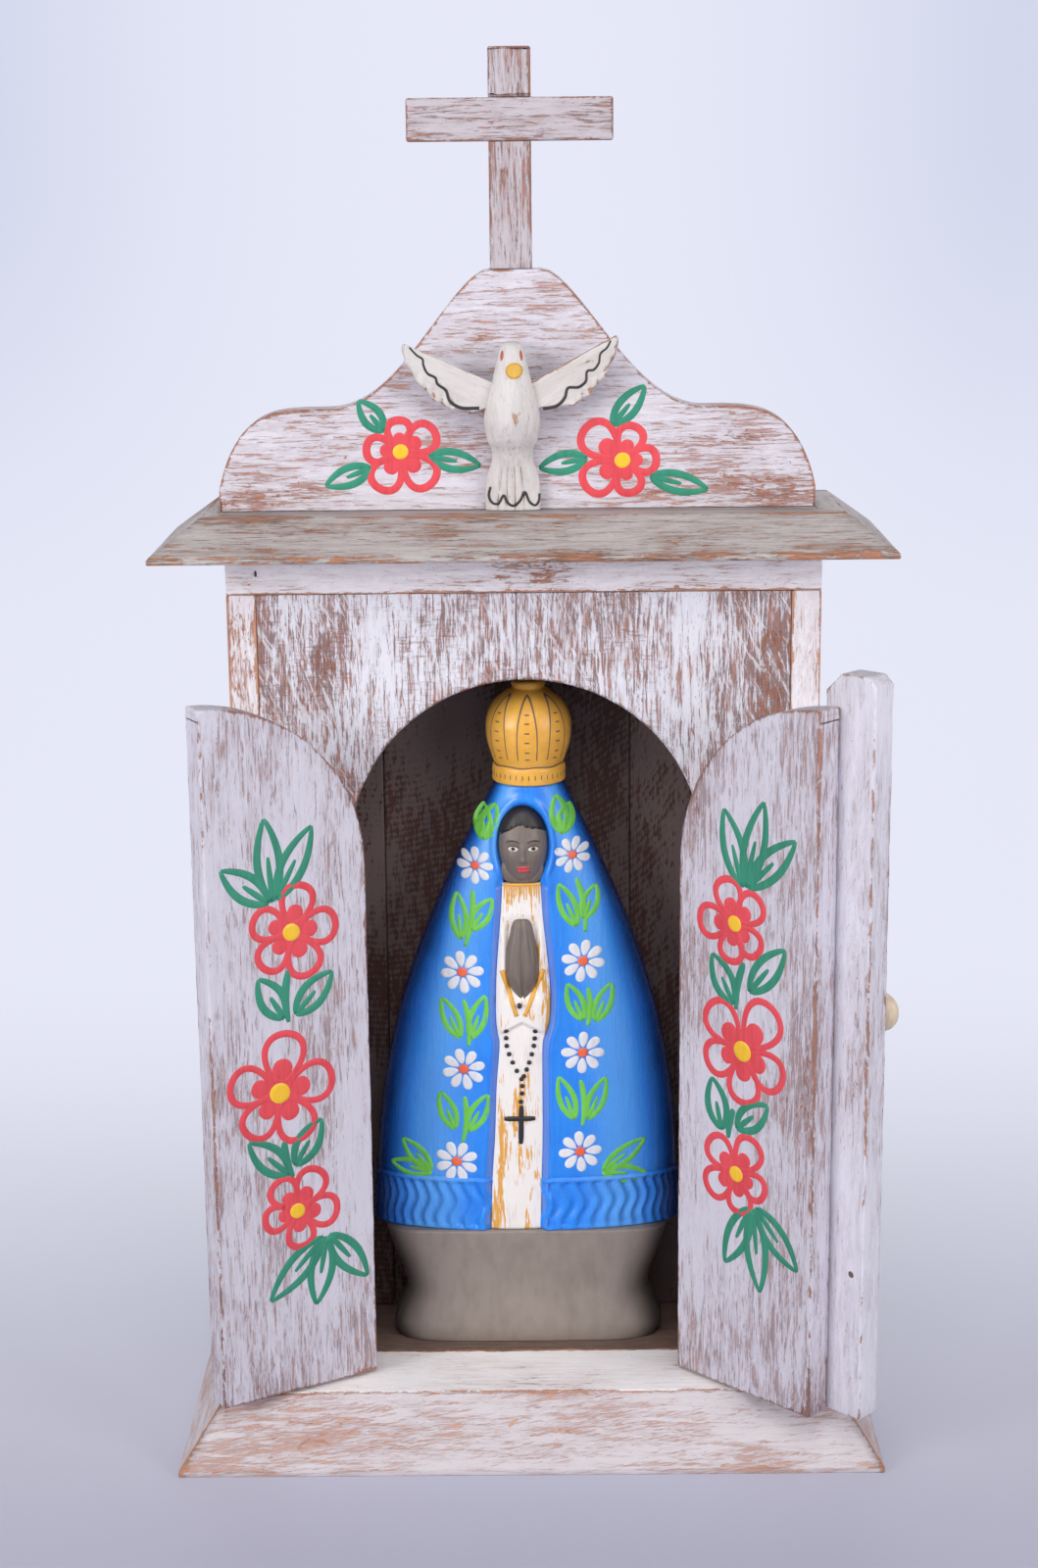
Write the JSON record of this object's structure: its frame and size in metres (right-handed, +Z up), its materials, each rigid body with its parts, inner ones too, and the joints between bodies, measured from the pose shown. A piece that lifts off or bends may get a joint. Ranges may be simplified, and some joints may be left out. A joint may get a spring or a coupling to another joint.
{
  "type": "wooden chapel shrine",
  "caption": "Shallow wooden chapel shrine on a bevelled plinth, with a gabled pediment, cross and dove, and two arched hinged doors before a niche with a crowned figure.",
  "frame": {"origin": "middle of the plinth's underside, on the surface that the shrine stands on", "axes": "+Z up, +X to the viewer's right, +Y from the doors to the back"},
  "size_m": [0.3616, 0.1542, 0.7007],
  "materials": {
    "whitewashed_wood": "dry-brushed white paint, worn to the wood on edges and along the grain",
    "grey_washed_wood": "thin grey-white wash over wood",
    "niche_wood": "rough sawn, thinly washed",
    "bare_wood": "bare",
    "dove_paint": "off-white paint on carved wood",
    "mantle_paint": "satin blue paint on carved wood",
    "crown_paint": "satin ochre paint on turned wood",
    "pedestal_paint": "satin grey paint on carved wood",
    "knob_paint": "worn cream paint on turned wood",
    "hinge_steel": "plain steel, dulled"
  },
  "bodies": {
    "shrine": {"plinth_core": "whitewashed_wood", "plinth_front_moulding": "whitewashed_wood", "plinth_left_moulding": "whitewashed_wood", "plinth_right_moulding": "whitewashed_wood", "left_wall": "whitewashed_wood", "right_wall": "whitewashed_wood", "top_board": "whitewashed_wood", "front_board_left": "whitewashed_wood", "front_board_right": "whitewashed_wood", "back_plank_left": "niche_wood", "back_plank_middle": "niche_wood", "back_plank_right": "niche_wood", "roof_board": "grey_washed_wood", "pediment": "whitewashed_wood", "pediment_dowel_left": "bare_wood", "pediment_dowel_right": "bare_wood", "cross_post": "whitewashed_wood", "cross_arm": "whitewashed_wood", "cross_dowel": "bare_wood", "dove_body": "dove_paint", "dove_wing_left": "dove_paint", "dove_wing_right": "dove_paint", "dove_peg": "bare_wood", "figure_pedestal": "pedestal_paint", "figure_body": "mantle_paint", "figure_crown": "crown_paint", "left_lower_hinge_frame_leaf": "hinge_steel", "left_lower_hinge_pin": "hinge_steel", "left_lower_hinge_frame_nail_1": "hinge_steel", "left_lower_hinge_frame_nail_2": "hinge_steel", "left_upper_hinge_frame_leaf": "hinge_steel", "left_upper_hinge_pin": "hinge_steel", "left_upper_hinge_frame_nail_1": "hinge_steel", "left_upper_hinge_frame_nail_2": "hinge_steel", "right_lower_hinge_frame_leaf": "hinge_steel", "right_lower_hinge_pin": "hinge_steel", "right_lower_hinge_frame_nail_1": "hinge_steel", "right_lower_hinge_frame_nail_2": "hinge_steel", "right_upper_hinge_frame_leaf": "hinge_steel", "right_upper_hinge_pin": "hinge_steel", "right_upper_hinge_frame_nail_1": "hinge_steel", "right_upper_hinge_frame_nail_2": "hinge_steel"},
    "left_door": {"left_door": "whitewashed_wood", "left_lower_hinge_door_leaf": "hinge_steel", "left_lower_hinge_door_nail_1": "hinge_steel", "left_lower_hinge_door_nail_2": "hinge_steel", "left_upper_hinge_door_leaf": "hinge_steel", "left_upper_hinge_door_nail_1": "hinge_steel", "left_upper_hinge_door_nail_2": "hinge_steel"},
    "right_door": {"right_door": "whitewashed_wood", "door_strip": "whitewashed_wood", "door_knob": "knob_paint", "right_lower_hinge_door_leaf": "hinge_steel", "right_lower_hinge_door_nail_1": "hinge_steel", "right_lower_hinge_door_nail_2": "hinge_steel", "right_upper_hinge_door_leaf": "hinge_steel", "right_upper_hinge_door_nail_1": "hinge_steel", "right_upper_hinge_door_nail_2": "hinge_steel"}
  },
  "joints": [
    {"name": "left_door_hinge", "type": "hinge", "parent": "shrine", "child": "left_door", "pos_m": [-0.088, -0.00855, 0.2], "axis": [0, 0, 1], "range_deg": [-30, 150]},
    {"name": "right_door_hinge", "type": "hinge", "parent": "shrine", "child": "right_door", "pos_m": [0.088, -0.00855, 0.2], "axis": [0, 0, 1], "range_deg": [-136, 44]}
  ]
}
